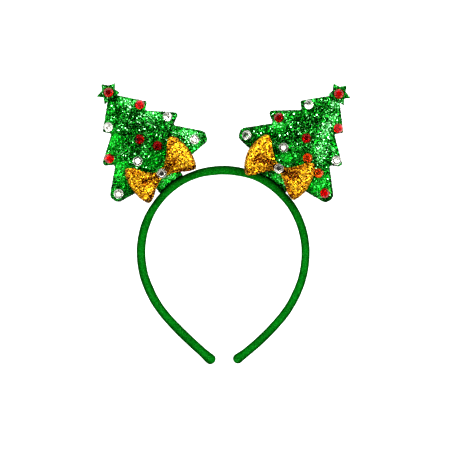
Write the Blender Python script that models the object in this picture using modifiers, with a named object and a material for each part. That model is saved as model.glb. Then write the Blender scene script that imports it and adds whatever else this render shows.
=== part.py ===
"""Christmas tree headband: a cloth-covered hoop with two padded glitter trees, gold bows and cut stones.

Lengths are metres and angles are degrees. The headband lies on its back on Z = 0, with the top of the
hoop towards +Y and the front with its bows and stones towards +Z.
"""

import math

import bpy
import numpy as np
from mathutils import Matrix, Vector
from mathutils.geometry import delaunay_2d_cdt

# Hoop, measured along the middle of the covered band
CROWN_RADIUS = 0.0632
LEG_LENGTH = 0.0457
BAND_THICKNESS = 0.0063
BAND_DEPTH = 0.0080
BAND_EDGE_SHARE = 0.32
END_RADIUS = 0.0036
END_SWELL_LENGTH = 0.0090
STATION_PITCH = 0.0065

# Sides of the hoop: side, radius of the side arc as a share of the crown's, its sweep, bend along the leg
HOOP_SIDES = [
    ("left", 1.179, 43.6, 6.0),
    ("right", 1.269, 39.9, 14.2),
]

# Trees, in their own frame: across the tree and up from the foot of the trunk
TREE_HALF_WIDTH = 0.0450
TREE_HEIGHT = 0.0810
TREE_THICKNESS = 0.0080
TREE_FOOT_RISE = 0.0027
RIM_SHARE = 0.25
EDGE_SWELL_SHARE = 0.50
BODY_SWELL_SHARE = 0.25
EDGE_REACH = 0.0055
BODY_REACH = 0.0140
OUTLINE_PITCH = 0.0030
RING_INSET = 0.0014
PAD_PITCH = 0.0042

# Stars over the tree tops
STAR_RADIUS = 0.0088
STAR_WAIST_SHARE = 0.60
STAR_THICKNESS = 0.0018

# Bows
BOW_HALF_SPAN = 0.0240
BOW_CLOTH = 0.0012
BOW_DEPTH = 0.0085
BOW_WAIST = 0.0064
BOW_CORNER_SHARE = 0.04
BOW_PLEAT = 0.0011
BOW_EDGE_DROP = 0.0008
BOW_COLUMNS = 12

# Cut stones
STONE_RADIUS = 0.0037
STONE_HEIGHT = 0.0030
STONE_BACK_SHARE = 0.80
STONE_GIRDLE_SHARE = 0.27
STONE_TABLE_SHARE = 0.56
STONE_MIDDLE_SHARE = 0.86

GAP = 0.0003

# Where each tree stands: side, polar angle of its foot about the crown's centre, angle of its axis
TREES = [
    ("left", 127.45, 124.5),
    ("right", 54.35, 53.2),
]

# Half outline of a tree: share of the half width across, share of the height up, and the corner's radius
# as a share of the half width
TREE_CORNERS = [
    (0.000, 1.001, 0.056),
    (0.458, 0.737, 0.033),
    (0.342, 0.675, 0.031),
    (0.802, 0.476, 0.051),
    (0.593, 0.412, 0.036),
    (0.987, 0.190, 0.096),
    (0.937, 0.101, 0.096),
    (0.247, 0.062, 0.027),
]
TRUNK_HALF_SHARE = 0.247

# Stars: side, centre across and up as shares of the tree
STARS = [
    ("left", 0.006, 1.012),
    ("right", -0.003, 1.007),
]

# Tips of the stars: angle from the tree's axis, share of the star's radius
STAR_TIPS = {
    "left": [(6.0, 0.95), (75.0, 1.07), (127.0, 1.08), (233.0, 0.96), (291.0, 0.95)],
    "right": [(-6.0, 0.99), (64.0, 0.99), (132.0, 0.93), (240.0, 1.08), (288.0, 1.06)],
}

# Bows: side, knot across and up as shares of the tree, turn of the waist from the tree's cross axis
BOWS = [
    ("left", -0.031, 0.091, 1.5),
    ("right", -0.058, 0.095, 7.5),
]

# Outer end of each loop, from the knot, as shares of the bow's half span: side of the bow, side of the
# loop, upper corner across and up, lower corner across and up, bulge of the end beyond the line between them
LOOPS = {
    ("left", "left"): (-0.917, 0.742, -0.892, -0.542, 0.133),
    ("left", "right"): (0.963, 0.800, 1.025, -0.471, 0.129),
    ("right", "left"): (-0.983, 0.629, -0.792, -0.750, 0.217),
    ("right", "right"): (0.850, 0.775, 1.000, -0.496, 0.150),
}

# Side view of a loop from its waist to its end: share of the run, share of the spread, height of the
# front layer and of the back layer as shares of the bow's depth
LOOP_SECTION = [
    (0.00, 0.00, 0.21, 0.00),
    (0.13, 0.11, 0.47, 0.00),
    (0.29, 0.27, 0.73, 0.00),
    (0.47, 0.49, 0.91, 0.00),
    (0.65, 0.77, 1.00, 0.02),
    (0.82, 0.95, 0.96, 0.07),
    (0.93, 1.00, 0.84, 0.17),
    (0.985, 1.00, 0.68, 0.32),
]
LOOP_FOLD = 0.50

# Stones on the trees: name, colour, share of the half width across, share of the height up
STONES = {
    "left": [
        ("upper_inner", "red", 0.326, 0.749),
        ("upper_outer", "clear", -0.332, 0.742),
        ("middle_inner", "clear", 0.598, 0.504),
        ("middle_centre", "red", -0.013, 0.479),
        ("middle_outer", "red", -0.621, 0.489),
        ("lower_right", "red", 0.177, 0.331),
        ("lower_left", "clear", -0.247, 0.316),
        ("tip_inner", "clear", 0.763, 0.180),
        ("tip_outer", "clear", -0.832, 0.166),
    ],
    "right": [
        ("upper_inner", "clear", -0.301, 0.753),
        ("upper_outer", "red", 0.340, 0.741),
        ("middle_inner", "red", -0.578, 0.484),
        ("middle_centre", "red", 0.008, 0.484),
        ("middle_outer", "clear", 0.644, 0.488),
        ("lower_left", "clear", -0.208, 0.283),
        ("lower_right", "amber", 0.224, 0.341),
        ("lower_outer", "amber", 0.531, 0.288),
        ("tip_inner", "clear", -0.841, 0.168),
        ("tip_outer", "red", 0.823, 0.171),
    ],
}

COLOURS = {
    "band_green": ((0.010, 0.165, 0.016), 0.75, 0.0),
    "tree_green": ((0.012, 0.210, 0.035), 0.40, 0.3),
    "bow_gold": ((0.720, 0.420, 0.045), 0.38, 0.5),
    "stone_red": ((0.600, 0.008, 0.015), 0.08, 0.0),
    "stone_clear": ((0.860, 0.880, 0.900), 0.06, 0.0),
    "stone_amber": ((0.700, 0.180, 0.020), 0.08, 0.0),
}


def clear_scene():
    for thing in list(bpy.data.objects):
        bpy.data.objects.remove(thing, do_unlink=True)


def make_material(name):
    colour, roughness, metallic = COLOURS[name]
    material = bpy.data.materials.new(name)
    material.use_nodes = True
    shader = material.node_tree.nodes["Principled BSDF"]
    shader.inputs["Base Color"].default_value = (*colour, 1.0)
    shader.inputs["Roughness"].default_value = roughness
    shader.inputs["Metallic"].default_value = metallic
    return material


def add_object(name, points, faces, material, smooth_angle=None):
    mesh = bpy.data.meshes.new(name)
    mesh.from_pydata([tuple(p) for p in points], [], faces)
    mesh.validate()
    mesh.materials.append(material)
    if smooth_angle is not None:
        mesh.shade_smooth()
        mesh.set_sharp_from_angle(angle=math.radians(smooth_angle))
    thing = bpy.data.objects.new(name, mesh)
    collection.objects.link(thing)
    return thing


def solidify(thing, thickness, offset):
    modifier = thing.modifiers.new("thickness", "SOLIDIFY")
    modifier.thickness = thickness
    modifier.offset = offset
    return modifier


def bevel(thing, width, segments, angle):
    modifier = thing.modifiers.new("round_edges", "BEVEL")
    modifier.width = width
    modifier.segments = segments
    modifier.limit_method = "ANGLE"
    modifier.angle_limit = math.radians(angle)
    return modifier


def turn(angle):
    """Unit vector at an angle in degrees from +X."""
    return Vector((math.cos(math.radians(angle)), math.sin(math.radians(angle)), 0.0))


# The band

def hoop_half(side):
    """Middle line from the crown down one side, as if on the right: points, outward directions and half
    widths."""
    share, sweep, bend = next(h[1:] for h in HOOP_SIDES if h[0] == side)
    radius = share * CROWN_RADIUS
    points = []
    count = round(CROWN_RADIUS * math.pi / 2 / STATION_PITCH)
    for k in range(count):
        out = turn(90.0 * (1 - k / count))
        points.append((CROWN_RADIUS * out, out, BAND_THICKNESS / 2))
    centre = Vector((CROWN_RADIUS - radius, 0.0, 0.0))
    count = round(radius * math.radians(sweep) / STATION_PITCH)
    for k in range(count + 1):
        out = turn(-sweep * k / count)
        points.append((centre + radius * out, out, BAND_THICKNESS / 2))
    knee = points[-1][0]
    leg_radius = LEG_LENGTH / math.radians(bend)
    centre = knee - leg_radius * turn(-sweep)
    straight = LEG_LENGTH - END_SWELL_LENGTH
    count = round(straight / STATION_PITCH)
    runs = [straight * k / count for k in range(1, count + 1)]
    runs += [straight + END_SWELL_LENGTH * share for share in (0.35, 0.70, 1.0)]
    for run in runs:
        out = turn(-sweep - bend * run / LEG_LENGTH)
        share = max(0.0, (run - straight) / END_SWELL_LENGTH)
        swell = share * share * (3 - 2 * share)
        half = BAND_THICKNESS / 2 + (END_RADIUS - BAND_THICKNESS / 2) * swell
        points.append((centre + leg_radius * out, out, half))
    tip = points[-1][0]
    out = turn(-sweep - bend)
    along = turn(-sweep - bend - 90.0)
    for angle in (25.0, 50.0, 75.0):
        ahead = END_RADIUS * math.sin(math.radians(angle))
        points.append((tip + along * ahead, out, END_RADIUS * math.cos(math.radians(angle))))
    return points


def build_band(material):
    right = hoop_half("right")
    left = hoop_half("left")[1:]
    left = [(Vector((-p.x, p.y, 0.0)), Vector((-n.x, n.y, 0.0)), w) for p, n, w in left]
    stations = left[::-1] + right
    points = []
    for place, out, half in stations:
        points.append(place + out * half)
        points.append(place - out * half)
    faces = [(2 * k, 2 * k + 2, 2 * k + 3, 2 * k + 1) for k in range(len(stations) - 1)]
    band = add_object("band", points, faces, material, 50.0)
    band.location.z = MIDDLE - BAND_DEPTH / 2
    solidify(band, BAND_DEPTH, -1.0)
    bevel(band, BAND_EDGE_SHARE * BAND_THICKNESS, 3, 60.0)
    return band


# The trees

def tree_frame(side):
    """World matrix of a tree's own frame, at the foot of its trunk and at mid depth."""
    place, axis = next(t[1:] for t in TREES if t[0] == side)
    foot = (CROWN_RADIUS + BAND_THICKNESS / 2 + TREE_FOOT_RISE) * turn(place)
    frame = Matrix.Rotation(math.radians(axis - 90.0), 4, "Z")
    frame.translation = (foot.x, foot.y, MIDDLE)
    return frame


def round_corner(before, corner, after, radius):
    """Arc that replaces a corner, tangent to both of its edges."""
    first = (before - corner).normalized()
    last = (after - corner).normalized()
    half = first.angle(last) / 2
    run = min(radius / math.tan(half), 0.45 * min((before - corner).length, (after - corner).length))
    fitted = run * math.tan(half)
    centre = corner + (first + last).normalized() * (fitted / math.sin(half))
    start = corner + first * run - centre
    sweep = start.angle_signed(corner + last * run - centre)
    steps = max(2, round(abs(sweep) / math.radians(32.0)))
    arc = []
    for k in range(steps + 1):
        angle = -sweep * k / steps
        arc.append(centre + Vector((
            start.x * math.cos(angle) - start.y * math.sin(angle),
            start.x * math.sin(angle) + start.y * math.cos(angle))))
    return arc


def tree_outline(side):
    """Closed outline of a tree, run clockwise from its top; the trunk ends along the band."""
    corners = []
    for across, up, rounding in TREE_CORNERS:
        corners.append((Vector((across * TREE_HALF_WIDTH, up * TREE_HEIGHT)), rounding * TREE_HALF_WIDTH))
    hub = tree_frame(side).inverted() @ Vector((0.0, 0.0, MIDDLE))
    seat = CROWN_RADIUS + BAND_THICKNESS / 2 + GAP
    trunk = []
    for share in np.linspace(1.0, -1.0, 9):
        across = share * TRUNK_HALF_SHARE * TREE_HALF_WIDTH
        trunk.append(Vector((across, hub.y + math.sqrt(seat ** 2 - (across - hub.x) ** 2))))
    mirrored = [(Vector((-p.x, p.y)), r) for p, r in corners[1:]]
    ring = corners + [(p, 0.0) for p in trunk] + mirrored[::-1]
    outline = []
    for k, (corner, radius) in enumerate(ring):
        before = ring[k - 1][0]
        after = ring[(k + 1) % len(ring)][0]
        outline += round_corner(before, corner, after, radius) if radius else [corner]
    fine = []
    for k, here in enumerate(outline):
        there = outline[(k + 1) % len(outline)]
        steps = max(1, round((there - here).length / OUTLINE_PITCH))
        fine += [here.lerp(there, j / steps) for j in range(steps)]
    return np.array(fine)


def reach_inside(places, outline):
    """How far places lie inside an outline, smoothed: the width of the pad that they belong to."""
    start = outline[None, :, :] - places[:, None, :]
    end = np.roll(outline, -1, axis=0)[None, :, :] - places[:, None, :]
    cross = start[..., 0] * end[..., 1] - start[..., 1] * end[..., 0]
    dot = (start * end).sum(-1)
    side = np.linalg.norm(end - start, axis=-1)
    distance = np.maximum(np.abs(cross) / side, 1e-7)
    return math.pi / (np.abs(np.arctan2(cross, dot)) / distance).sum(-1)


def pad_share(reach):
    """Share of the full thickness at a reach inside the outline."""
    edge = np.sqrt(1 - (1 - np.clip(reach / EDGE_REACH, 0, 1)) ** 2)
    body = np.sqrt(1 - (1 - np.clip(reach / BODY_REACH, 0, 1)) ** 2)
    return RIM_SHARE + EDGE_SWELL_SHARE * edge + BODY_SWELL_SHARE * body


def nearest_edge(places, outline):
    """Distance from places to the nearest edge of an outline."""
    start = outline[None, :, :]
    edge = np.roll(outline, -1, axis=0)[None, :, :] - start
    share = ((places[:, None, :] - start) * edge).sum(-1) / (edge ** 2).sum(-1)
    foot = start + np.clip(share, 0, 1)[..., None] * edge
    return np.linalg.norm(places[:, None, :] - foot, axis=-1).min(1)


def winding(places, outline):
    """True for places inside the outline."""
    start = outline[None, :, :] - places[:, None, :]
    end = np.roll(outline, -1, axis=0)[None, :, :] - places[:, None, :]
    cross = start[..., 0] * end[..., 1] - start[..., 1] * end[..., 0]
    return np.abs(np.arctan2(cross, (start * end).sum(-1)).sum(-1)) > math.pi


def build_tree(side, outline, material):
    edge = np.roll(outline, -1, axis=0) - np.roll(outline, 1, axis=0)
    inward = np.stack([edge[:, 1], -edge[:, 0]], -1) / np.linalg.norm(edge, axis=1)[:, None]
    ring = outline + RING_INSET * inward
    ring = ring[nearest_edge(ring, outline) > 0.9 * RING_INSET]
    low, high = outline.min(0), outline.max(0)
    rows = np.arange(low[1], high[1], PAD_PITCH * math.sqrt(3) / 2)
    middle = []
    for k, up in enumerate(rows):
        shift = PAD_PITCH / 2 * (k % 2)
        columns = int(high[0] / PAD_PITCH) + 1
        middle += [(j * PAD_PITCH + shift, up) for j in range(-columns, columns)]
    middle = np.array(middle)
    middle = middle[winding(middle, outline) & (nearest_edge(middle, outline) > RING_INSET + PAD_PITCH / 2)]
    flat = np.concatenate([outline, ring, middle])
    loop = list(range(len(outline)))[::-1]
    points, _, faces, _, _, _ = delaunay_2d_cdt([Vector(p) for p in flat], [], [loop], 1, 1e-7)
    tree = add_object("tree_" + side, [(p.x, p.y, 0.0) for p in points], faces, material, 60.0)
    tree.matrix_world = tree_frame(side)
    reach = reach_inside(flat, outline)
    shares = np.where(np.arange(len(flat)) < len(outline), RIM_SHARE, pad_share(reach))
    group = tree.vertex_groups.new(name="pad")
    for k, share in enumerate(shares):
        group.add([k], float(share), "REPLACE")
    puff = solidify(tree, TREE_THICKNESS, 0.0)
    puff.vertex_group = "pad"
    puff.thickness_vertex_group = 0.0
    return tree


def pad_seat(outline, across, up):
    """Height of a tree's front above its middle plane and the direction that it faces there."""
    step = 0.0004
    around = np.array([
        (across, up),
        (across + step, up),
        (across - step, up),
        (across, up + step),
        (across, up - step),
    ])
    height = pad_share(reach_inside(around, outline)) * TREE_THICKNESS / 2
    slope = Vector(((height[2] - height[1]) / (2 * step), (height[4] - height[3]) / (2 * step), 1.0))
    return float(height[0]), slope.normalized()


# The stars

def build_star(side, outline, material):
    tips = STAR_TIPS[side]
    across, up = next(t[1:] for t in STARS if t[0] == side)
    points = []
    for k, (angle, share) in enumerate(tips):
        after = tips[(k + 1) % len(tips)][0] + (360.0 if k == len(tips) - 1 else 0.0)
        points.append(STAR_RADIUS * share * turn(90.0 + angle))
        points.append(STAR_RADIUS * STAR_WAIST_SHARE * turn(90.0 + (angle + after) / 2))
    star = add_object("star_" + side, points, [tuple(range(len(points)))], material)
    centre = np.array((across * TREE_HALF_WIDTH, up * TREE_HEIGHT))
    rims = np.array([(p.x, p.y) for p in points])
    under = np.concatenate([centre + rims * share for share in (0.15, 0.40, 0.60, 0.80, 1.0)])
    under = under[winding(under, outline)]
    lift = pad_share(reach_inside(under, outline)).max() * TREE_THICKNESS / 2 + GAP
    seat = Matrix.Translation((*centre, lift))
    star.matrix_world = tree_frame(side) @ seat
    solidify(star, STAR_THICKNESS, 1.0)
    bevel(star, STAR_THICKNESS * 0.25, 1, 80.0)
    return star


# The bows

def bow_frame(side):
    across, up = next(b[1:3] for b in BOWS if b[0] == side)
    seat = BOW_SEAT + BOW_CLOTH / 2 - MIDDLE
    return tree_frame(side) @ Matrix.Translation((across * TREE_HALF_WIDTH, up * TREE_HEIGHT, seat))


def loop_point(side, loop_side, row, column, layer):
    """Point of a loop: row of its side view, column from -1 to 1 across the cloth, and its layer."""
    run, spread, front, back = row
    waist_turn = math.radians(next(b[3] for b in BOWS if b[0] == side))
    upper = Vector(LOOPS[(side, loop_side)][0:2]) * BOW_HALF_SPAN
    lower = Vector(LOOPS[(side, loop_side)][2:4]) * BOW_HALF_SPAN
    bulge = LOOPS[(side, loop_side)][4] * BOW_HALF_SPAN
    sign = math.copysign(1.0, upper.x)
    across = Vector((math.cos(waist_turn), math.sin(waist_turn))) * sign * WAIST_REACH
    rise = Vector((-math.sin(waist_turn), math.cos(waist_turn))) * BOW_WAIST / 2
    waist = across + rise * column
    outward = Vector((upper.y - lower.y, lower.x - upper.x)).normalized() * sign
    end = lower.lerp(upper, (column + 1) / 2)
    end += outward * (bulge * (1 - column ** 2) - BOW_CORNER_SHARE * abs(upper.x) * column ** 8)
    x = waist.x + (end.x - waist.x) * run
    y = waist.y + (end.y - waist.y) * spread
    height = {"front": front, "back": back, "fold": LOOP_FOLD}[layer] * BOW_DEPTH
    if layer == "front":
        pleat = math.sqrt(math.sin(math.pi * min(run, 1.0)))
        height -= BOW_PLEAT * pleat * (1 - run) * math.cos(2 * math.pi * column)
        height -= BOW_EDGE_DROP * spread * column ** 4
    return (x, y, height)


def build_bow(side, material):
    end_row = (1.0, 1.0, LOOP_FOLD, LOOP_FOLD)
    rows = []
    for loop_side in ("right", "left"):
        front = [(loop_side, row, "front") for row in LOOP_SECTION]
        back = [(loop_side, row, "back") for row in LOOP_SECTION]
        half = front + [(loop_side, end_row, "fold")] + back[::-1]
        rows += half if loop_side == "right" else half[::-1]
    columns = np.linspace(-1.0, 1.0, BOW_COLUMNS + 1)
    points = []
    for loop_side, row, layer in rows:
        points += [loop_point(side, loop_side, row, c, layer) for c in columns]
    width = len(columns)
    faces = []
    for r in range(len(rows)):
        here = r * width
        there = (r + 1) % len(rows) * width
        faces += [(here + c, there + c, there + c + 1, here + c + 1) for c in range(BOW_COLUMNS)]
    bow = add_object("bow_" + side, points, faces, material, 60.0)
    bow.matrix_world = bow_frame(side)
    solidify(bow, BOW_CLOTH, 0.0)
    return bow


# The stones

def stone_shape():
    """Points and faces of a flat-backed stone: table, eight stars, eight kites and sixteen girdle facets."""
    girdle = STONE_GIRDLE_SHARE * STONE_HEIGHT
    points = []
    for k in range(16):
        points.append(STONE_BACK_SHARE * STONE_RADIUS * turn(22.5 * k))
    for k in range(16):
        points.append(STONE_RADIUS * turn(22.5 * k) + Vector((0, 0, girdle)))
    table = STONE_TABLE_SHARE * STONE_RADIUS
    middle = STONE_MIDDLE_SHARE * STONE_RADIUS
    run = middle * math.cos(math.radians(22.5))
    rise = (STONE_RADIUS - run) / (STONE_RADIUS - table) * (STONE_HEIGHT - girdle)
    for k in range(8):
        points.append(middle * turn(45.0 * k + 22.5) + Vector((0, 0, girdle + rise)))
    for k in range(8):
        points.append(table * turn(45.0 * k) + Vector((0, 0, STONE_HEIGHT)))
    faces = [tuple(range(15, -1, -1)), tuple(range(40, 48))]
    for k in range(16):
        after = (k + 1) % 16
        faces.append((k, after, 16 + after, 16 + k))
    for k in range(8):
        before = (k - 1) % 8
        after = (k + 1) % 8
        faces.append((16 + 2 * k, 17 + 2 * k, 32 + k))
        faces.append((17 + 2 * k, 16 + (2 * k + 2) % 16, 32 + k))
        faces.append((16 + 2 * k, 32 + k, 40 + k, 32 + before))
        faces.append((32 + k, 40 + after, 40 + k))
    return points, faces


def add_stone(name, colour, frame):
    points, faces = stone_shape()
    stone = add_object("stone_" + name, points, faces, materials["stone_" + colour])
    stone.matrix_world = frame
    return stone


def build_stones(side, outline):
    frame = tree_frame(side)
    for name, colour, across, up in STONES[side]:
        place = (across * TREE_HALF_WIDTH, up * TREE_HEIGHT)
        height, facing = pad_seat(outline, *place)
        tilt = facing.to_track_quat("Z", "Y").to_matrix().to_4x4()
        seat = Vector((*place, height)) + facing * GAP
        add_stone(side + "_" + name, colour, frame @ Matrix.Translation(seat) @ tilt)
    star = bpy.data.objects["star_" + side]
    add_stone(side + "_star", "red", star.matrix_world @ Matrix.Translation((0, 0, STAR_THICKNESS + GAP)))
    waist = LOOP_SECTION[0][2] * BOW_DEPTH + BOW_CLOTH / 2 + GAP
    add_stone(side + "_knot", "clear", bow_frame(side) @ Matrix.Translation((0, 0, waist)))


def centre_on_origin():
    """Stand the whole on Z = 0 with the middle of its bounding box over the origin."""
    bpy.context.view_layer.update()
    graph = bpy.context.evaluated_depsgraph_get()
    corners = []
    for thing in collection.objects:
        shape = thing.evaluated_get(graph)
        corners += [tuple(shape.matrix_world @ v.co) for v in shape.data.vertices]
    low = np.min(corners, axis=0)
    high = np.max(corners, axis=0)
    shift = Vector((-(low[0] + high[0]) / 2, -(low[1] + high[1]) / 2, -low[2]))
    for thing in collection.objects:
        thing.matrix_world = Matrix.Translation(shift) @ thing.matrix_world


MIDDLE = max(BAND_DEPTH, TREE_THICKNESS) / 2
BOW_SEAT = 2 * MIDDLE + GAP
WAIST_REACH = STONE_RADIUS + GAP

clear_scene()
collection = bpy.data.collections.new("christmas_tree_headband")
bpy.context.scene.collection.children.link(collection)
materials = {name: make_material(name) for name in COLOURS}

build_band(materials["band_green"])
for tree_side in ("left", "right"):
    tree_edge = tree_outline(tree_side)
    build_tree(tree_side, tree_edge, materials["tree_green"])
    build_star(tree_side, tree_edge, materials["tree_green"])
    build_bow(tree_side, materials["bow_gold"])
    bpy.context.view_layer.update()
    build_stones(tree_side, tree_edge)
centre_on_origin()
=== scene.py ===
"""Looks of the christmas tree headband: velvet hoop, glitter trees and stars, gold bows, cut stones.

Lengths are metres and angles are degrees. The headband lies on its back on Z = 0, crown towards +Y.
"""

import math

import bpy
import numpy as np
from mathutils import Matrix, Vector, noise
from mathutils.geometry import delaunay_2d_cdt


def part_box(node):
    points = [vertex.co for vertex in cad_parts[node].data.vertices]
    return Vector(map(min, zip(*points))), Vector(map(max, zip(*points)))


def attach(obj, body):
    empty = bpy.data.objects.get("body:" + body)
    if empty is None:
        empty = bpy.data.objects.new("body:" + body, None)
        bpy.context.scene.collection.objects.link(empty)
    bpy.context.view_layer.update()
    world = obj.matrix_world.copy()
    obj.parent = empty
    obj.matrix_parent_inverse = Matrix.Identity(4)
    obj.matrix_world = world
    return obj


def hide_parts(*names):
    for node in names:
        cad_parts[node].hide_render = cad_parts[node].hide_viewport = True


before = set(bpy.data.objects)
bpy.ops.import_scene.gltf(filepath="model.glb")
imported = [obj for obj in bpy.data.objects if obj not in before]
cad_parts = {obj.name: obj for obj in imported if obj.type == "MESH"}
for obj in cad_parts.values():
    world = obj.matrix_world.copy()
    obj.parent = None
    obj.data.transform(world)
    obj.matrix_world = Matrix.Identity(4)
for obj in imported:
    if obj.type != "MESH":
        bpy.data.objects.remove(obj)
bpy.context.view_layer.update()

MM = 0.001

# Hoop, as in the solids
CROWN_RADIUS = 0.0632
LEG_LENGTH = 0.0457
BAND_THICKNESS = 0.0063
BAND_DEPTH = 0.0080
END_RADIUS = 0.0036
END_SWELL_LENGTH = 0.0090
STATION_PITCH = 0.0008
# Each side below the crown: radius as a share of the crown's, sweep, bend of the leg
HOOP_SIDES = {"left": (1.179, 43.6, 6.0), "right": (1.269, 39.9, 14.2)}

# Band cover
BAND_RING = 40
BAND_SQUARENESS = 3.0
BAND_END_ROUND = 0.0022
BAND_LUMP = 0.00012
BAND_LUMP_LENGTH = 0.005
# Lap of the cloth on the hoop's inner side: its rise, and where it lies, in half turns from the outer edge
SEAM_RISE = 0.00028
SEAM_SPAN = (0.55, 0.93)
# Level of the pile, where the painted shade along its edges starts, that shade, how much of it the crown
# takes away, and the painted shade over the crown in the middle and outwards
VELVET_LEVEL = 0.80
VELVET_EDGE_START = 0.35
VELVET_EDGE_SHADE = 0.62
VELVET_CROWN_EASE = 0.6
VELVET_CROWN_SHADE = (0.16, 0.34)
# How far the cloth lies outside the solid, by the angle round the crown's centre: inner edge, outer edge
BAND_PROUD = [
    (-60, 0.00030, 0.00025), (-30, 0.00020, 0.00020), (-20, -0.00030, 0.00050), (0, -0.00030, 0.00050),
    (14, 0.00000, 0.00030), (34, -0.00010, 0.00030), (42, 0.00000, 0.00000), (68, 0.00000, 0.00000),
    (80, 0.00075, 0.00000), (97, 0.00080, 0.00000), (104, 0.00030, 0.00000), (120, -0.00020, 0.00000),
    (146, -0.00020, 0.00000), (160, 0.00015, 0.00045), (196, 0.00025, 0.00050), (206, 0.00085, 0.00020),
    (224, 0.00060, 0.00020), (240, 0.00025, 0.00080)]

# Trees, as in the solids
TREE_HALF_WIDTH = 0.0450
TREE_HEIGHT = 0.0810
TREE_THICKNESS = 0.0080
TREE_FOOT_RISE = 0.0027
RIM_SHARE = 0.25
EDGE_SWELL_SHARE = 0.50
BODY_SWELL_SHARE = 0.25
EDGE_REACH = 0.0055
BODY_REACH = 0.0140
# Angle round the hub at each tree's foot, and of the tree's axis
TREES = {"left": (127.45, 124.5), "right": (54.35, 53.2)}
# Corners from the top down: across, up and rounding, as shares of the half width and the height
TREE_CORNERS = [
    (0.000, 1.001, 0.056),
    (0.458, 0.737, 0.033),
    (0.342, 0.675, 0.031),
    (0.802, 0.476, 0.051),
    (0.593, 0.412, 0.036),
    (0.987, 0.190, 0.096),
    (0.937, 0.101, 0.096),
    (0.247, 0.062, 0.027),
]
TRUNK_HALF_SHARE = 0.247
TRUNK_PRESS = 0.0001
# How much wider the cloth's trunk is on each side than the solid's
TRUNK_SPREAD = {"left": 0.0, "right": 0.0014}

# Surface of the pads
OUTLINE_PITCH = 0.0010
PAD_PITCH = 0.0011
PAD_RINGS = [0.0003, 0.0007, 0.0012, 0.0018, 0.0026, 0.0035]
PAD_WAVE = 0.00028
PAD_WAVE_LENGTH = 0.0085
# The smaller waves in it: their share and how much finer they are
PAD_RIPPLE = (0.4, 2.7)
# How far apart the two faces are in the wave's pattern, so that they differ
PAD_FACE_SHIFT = 0.05
# Radius of the flat place under a stone, and how far the pad rises there to meet it
STONE_DIMPLE = 0.0048
STONE_SEAT_SHARE = 0.8

# Stars, as in the solids
STAR_RADIUS = 0.0088
STAR_WAIST_SHARE = 0.60
STAR_THICKNESS = 0.0018
# Place of each star on its tree, in shares of the tree's size
STARS = {"left": (0.006, 1.012), "right": (-0.003, 1.007)}
# Tips: angle from the tree's axis, share of the radius
STAR_TIPS = {
    "left": [(6.0, 0.95), (75.0, 1.07), (127.0, 1.08), (233.0, 0.96), (291.0, 0.95)],
    "right": [(-6.0, 0.99), (64.0, 0.99), (132.0, 0.93), (240.0, 1.08), (288.0, 1.06)],
}
# Section from the edge to the middle: share of the radius, share of the thickness
STAR_SECTION = [
    (1.0, 0.0), (1.0, 0.12), (0.992, 0.45), (0.985, 0.80), (0.955, 0.97), (0.88, 1.0),
    (0.70, 1.0), (0.50, 1.0), (0.30, 1.0), (0.12, 1.0)]
STAR_EDGE_STEPS = 6
# Rings, in shares of the radius, that are tried against the pad under a star
STAR_PROBES = (0.15, 0.40, 0.60, 0.80, 1.0)

# Bows, as in the solids
BOW_HALF_SPAN = 0.0240
BOW_CLOTH = 0.0012
BOW_DEPTH = 0.0085
BOW_WAIST = 0.0064
BOW_CORNER_SHARE = 0.04
BOW_PLEAT = 0.0011
BOW_EDGE_DROP = 0.0008
BOW_COLUMNS = 44
BOW_ROWS_EACH = 6
BOW_CREASE = 0.0004
# How far the front layer's lower edge is tucked in, so that the back layer's lining, painted dark as shade,
# shows under it
BOW_TUCK = 0.0013
BOW_WAVE = 0.00025
BOW_WAVE_LENGTH = 0.0045
BOW_LOWER_BULGE = {"left": 0.0002, "right": 0.0012}
# Each bow on its tree: across and up in shares of the tree's size, turn of the waist
BOWS = {"left": (-0.031, 0.091, 1.5), "right": (-0.058, 0.095, 7.5)}
# Each loop's end in shares of the half span: upper corner, lower corner, bulge between them
LOOPS = {
    ("left", "left"): (-0.917, 0.742, -0.892, -0.542, 0.133),
    ("left", "right"): (0.963, 0.800, 1.025, -0.471, 0.129),
    ("right", "left"): (-0.983, 0.629, -0.792, -0.750, 0.217),
    ("right", "right"): (0.850, 0.775, 1.000, -0.496, 0.150),
}
# Section of a loop from the waist out: run, spread, height of the front, height of the back
LOOP_SECTION = [
    (0.00, 0.00, 0.21, 0.00),
    (0.13, 0.11, 0.47, 0.00),
    (0.29, 0.27, 0.73, 0.00),
    (0.47, 0.49, 0.91, 0.00),
    (0.65, 0.77, 1.00, 0.02),
    (0.82, 0.95, 0.96, 0.07),
    (0.93, 1.00, 0.84, 0.17),
    (0.985, 1.00, 0.68, 0.32),
]
LOOP_FOLD = 0.50

# Painted shade in the crease of each loop's glitter: where it runs between the edges (-1 to 1), its width,
# its length, and then how dark the painted shade makes the glitter along the loop's lower edge
LOOP_SHADES = {
    ("left", "left"): (0.10, 0.30, 0.85, 0.90),
    ("left", "right"): (0.05, 0.38, 0.66, 0.90),
    ("right", "left"): (-0.20, 0.30, 1.02, 0.15),
    ("right", "right"): (0.05, 0.50, 0.78, 0.60),
}

# Stones, as in the solids
STONE_RADIUS = 0.0037
STONE_HEIGHT = 0.0030
STONE_BACK_SHARE = 0.80
STONE_GIRDLE_SHARE = 0.27
STONE_TABLE_SHARE = 0.56
STONE_MIDDLE_SHARE = 0.86
STONE_LEAN = 4.0
GAP = 0.0003

# The foil cup under a stone's glass
CUP_FLOOR_SHARE = 0.77
CUP_HEART_SHARE = 0.45
CUP_FLOOR = 0.00010
CUP_UNEVEN = 0.00016
CUP_RISE = {"pale": 0.00032, "dark": 0.00004}
DARK_HEARTS = {
    "left_middle_inner", "left_middle_centre", "left_lower_right", "left_star", "left_knot",
    "right_upper_inner", "right_middle_inner", "right_middle_centre", "right_lower_right",
    "right_lower_outer", "right_tip_inner", "right_knot",
}
CUP_CLEARANCE = 0.000015

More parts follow.
